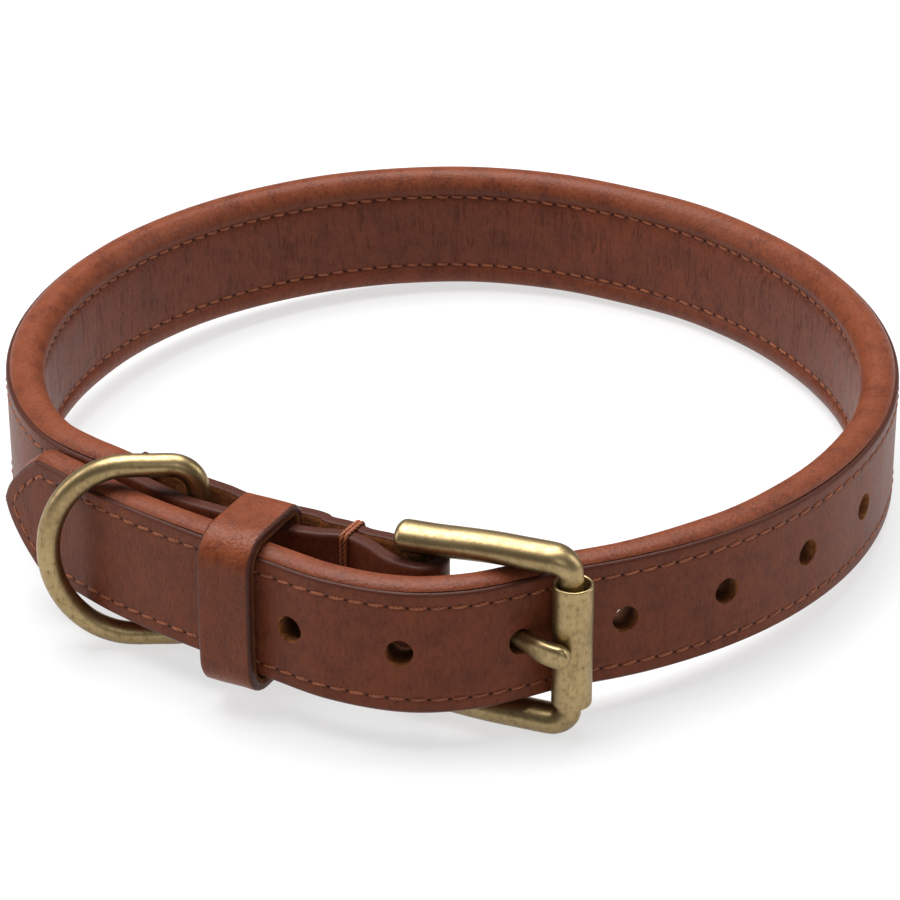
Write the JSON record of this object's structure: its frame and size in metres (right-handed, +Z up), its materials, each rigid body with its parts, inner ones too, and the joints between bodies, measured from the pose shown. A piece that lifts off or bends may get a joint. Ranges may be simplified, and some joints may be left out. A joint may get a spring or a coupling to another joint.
{
  "type": "dog collar",
  "caption": "Fastened padded leather dog collar with rolled edges, roller buckle, keeper loop and a hinged D-ring.",
  "frame": {"origin": "centre of the bounding box at its lowest point, where the collar rests", "axes": "+Z up through the neck opening; the buckle and D-ring lie towards -Y, the D-ring towards -X of the buckle"},
  "size_m": [0.1812, 0.1924, 0.0413],
  "materials": {
    "strap_leather": "smooth waxed chestnut",
    "lining_leather": "soft creased chestnut",
    "antique_brass": "antique satin"
  },
  "bodies": {
    "collar": {"strap": "strap_leather", "lining": "lining_leather", "keeper": "strap_leather", "buckle_frame": "antique_brass", "buckle_roller": "antique_brass", "buckle_tongue": "antique_brass"},
    "ring": {"d_ring": "antique_brass"}
  },
  "joints": [
    {"name": "ring_swing", "type": "hinge", "parent": "collar", "child": "ring", "pos_m": [-0.04768, -0.05529, 0.02077], "axis": [0.0322, 0.0269, 0.9991], "range_deg": [-1, 84]}
  ]
}
